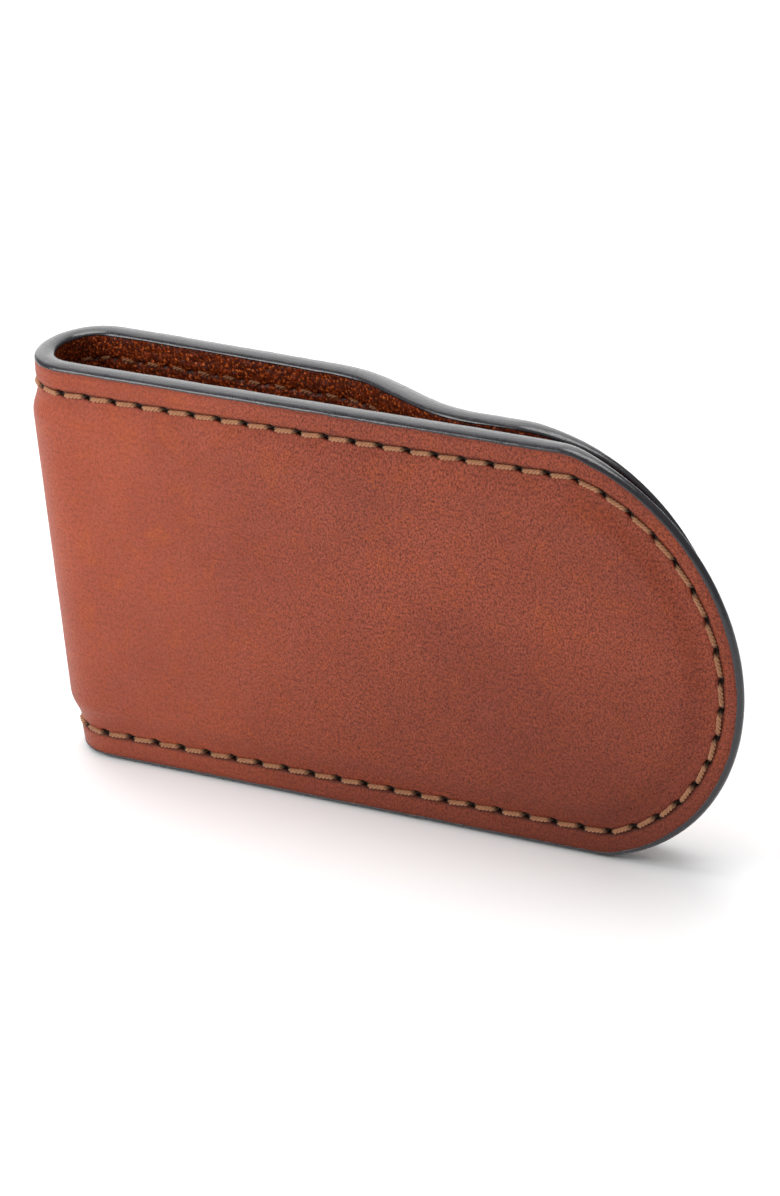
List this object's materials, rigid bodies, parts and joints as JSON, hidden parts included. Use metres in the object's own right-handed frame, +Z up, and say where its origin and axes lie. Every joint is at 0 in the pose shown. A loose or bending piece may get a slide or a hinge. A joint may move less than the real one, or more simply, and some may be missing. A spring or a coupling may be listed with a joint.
{
  "type": "money clip",
  "caption": "Magnetic money clip: a folded, stitched leather strip with rounded tips that close on each other.",
  "frame": {"origin": "middle of the overall box in plan, on the surface the clip stands on", "axes": "+X along the strip from the fold towards the rounded tips, +Y from the front flap to the back flap, +Z up"},
  "size_m": [0.0844, 0.0132, 0.0445],
  "materials": {
    "outer_leather": "smooth full grain, satin",
    "lining_leather": "pebbled grain, satin",
    "core_board": "bonded leather board, matte",
    "magnet": "nickel plated",
    "needle_thread": "twisted bonded thread",
    "bobbin_thread": "twisted bonded thread",
    "edge_paint": "rounded glossy bead"
  },
  "bodies": {
    "front_flap": {"front_outer_leather": "outer_leather", "front_core_board": "core_board", "front_lining": "lining_leather", "front_magnet": "magnet", "front_needle_thread": "needle_thread", "front_bobbin_thread": "bobbin_thread", "front_edge_paint": "edge_paint"},
    "fold_front": {"fold_front_outer_leather": "outer_leather", "fold_front_core_board": "core_board", "fold_front_lining": "lining_leather", "fold_front_needle_thread": "needle_thread", "fold_front_bobbin_thread": "bobbin_thread", "fold_front_edge_paint": "edge_paint"},
    "fold_middle": {"fold_middle_outer_leather": "outer_leather", "fold_middle_core_board": "core_board", "fold_middle_lining": "lining_leather", "fold_middle_needle_thread": "needle_thread", "fold_middle_bobbin_thread": "bobbin_thread", "fold_middle_edge_paint": "edge_paint"},
    "fold_back": {"fold_back_outer_leather": "outer_leather", "fold_back_core_board": "core_board", "fold_back_lining": "lining_leather", "fold_back_needle_thread": "needle_thread", "fold_back_bobbin_thread": "bobbin_thread", "fold_back_edge_paint": "edge_paint"},
    "back_flap": {"back_outer_leather": "outer_leather", "back_core_board": "core_board", "back_lining": "lining_leather", "back_magnet": "magnet", "back_needle_thread": "needle_thread", "back_bobbin_thread": "bobbin_thread", "back_edge_paint": "edge_paint"}
  },
  "joints": [
    {"name": "fold_opening", "type": "hinge", "parent": "front_flap", "child": "fold_front", "pos_m": [-0.0356, -0.00665, 0], "axis": [0, 0, 1], "range_deg": [0, 36], "stiffness_Nm_per_rad": 0.1},
    {"name": "fold_bend_two", "type": "hinge", "parent": "fold_front", "child": "fold_middle", "pos_m": [-0.04136, -0.00332, 0], "axis": [0, 0, 1], "range_deg": [0, 36], "stiffness_Nm_per_rad": 0.1},
    {"name": "fold_bend_three", "type": "hinge", "parent": "fold_middle", "child": "fold_back", "pos_m": [-0.04136, 0.00332, 0], "axis": [0, 0, 1], "range_deg": [0, 36], "stiffness_Nm_per_rad": 0.1},
    {"name": "fold_bend_four", "type": "hinge", "parent": "fold_back", "child": "back_flap", "pos_m": [-0.0356, 0.00665, 0], "axis": [0, 0, 1], "range_deg": [0, 36], "stiffness_Nm_per_rad": 0.1}
  ],
  "couplings": [
    {"joint": "fold_bend_two", "follows": "fold_opening", "ratio": 1},
    {"joint": "fold_bend_three", "follows": "fold_opening", "ratio": 1},
    {"joint": "fold_bend_four", "follows": "fold_opening", "ratio": 1}
  ]
}
